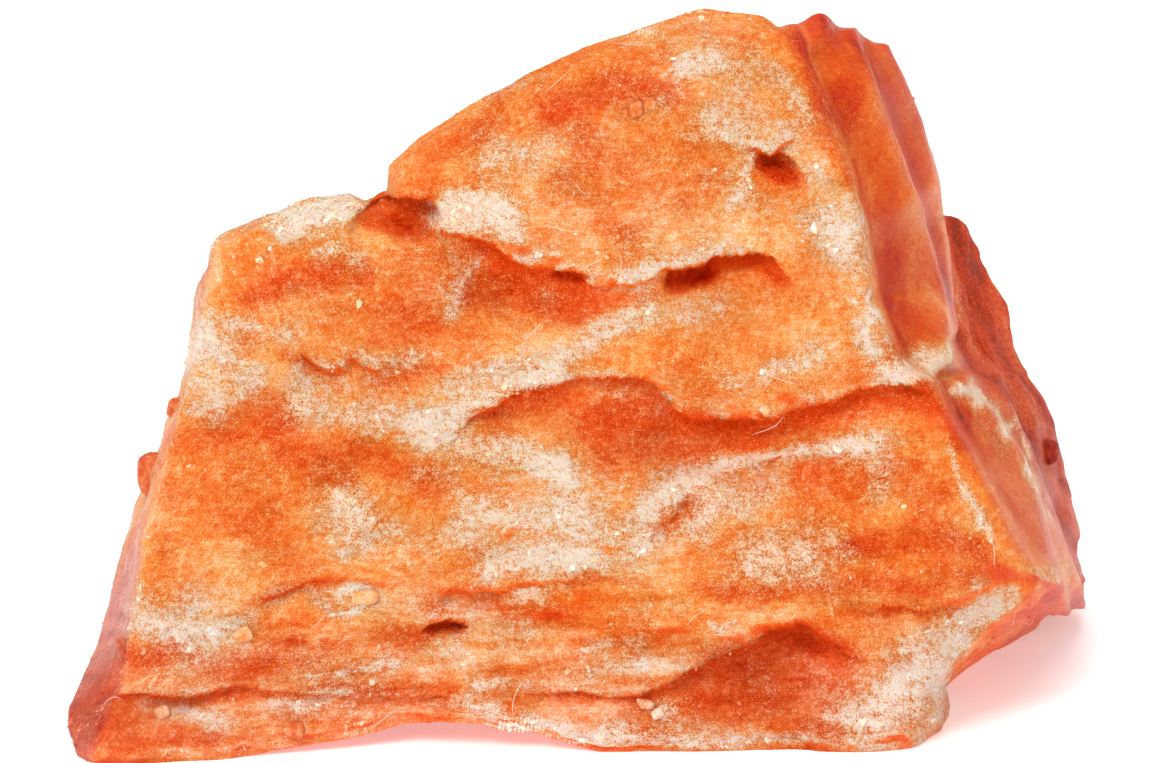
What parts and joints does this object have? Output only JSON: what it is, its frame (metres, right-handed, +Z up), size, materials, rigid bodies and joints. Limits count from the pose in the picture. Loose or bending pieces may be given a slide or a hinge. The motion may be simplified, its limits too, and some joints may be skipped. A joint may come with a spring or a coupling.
{
  "type": "monazite specimen",
  "caption": "Broken, layered orange mineral specimen: a wedge-shaped stone with stepped ledges, small caves and a flat base to stand on.",
  "frame": {"origin": "middle of the bounding box on the plane that the stone stands on", "axes": "+Z up; +X to the right as seen from the front; the broad cleavage face looks towards -Y and leans back"},
  "size_m": [0.0798, 0.0536, 0.0547],
  "materials": {
    "stone": "cloudy orange mineral with pale frosted patches, half matt to waxy"
  },
  "bodies": {
    "root": {"stone": "stone"}
  },
  "joints": []
}
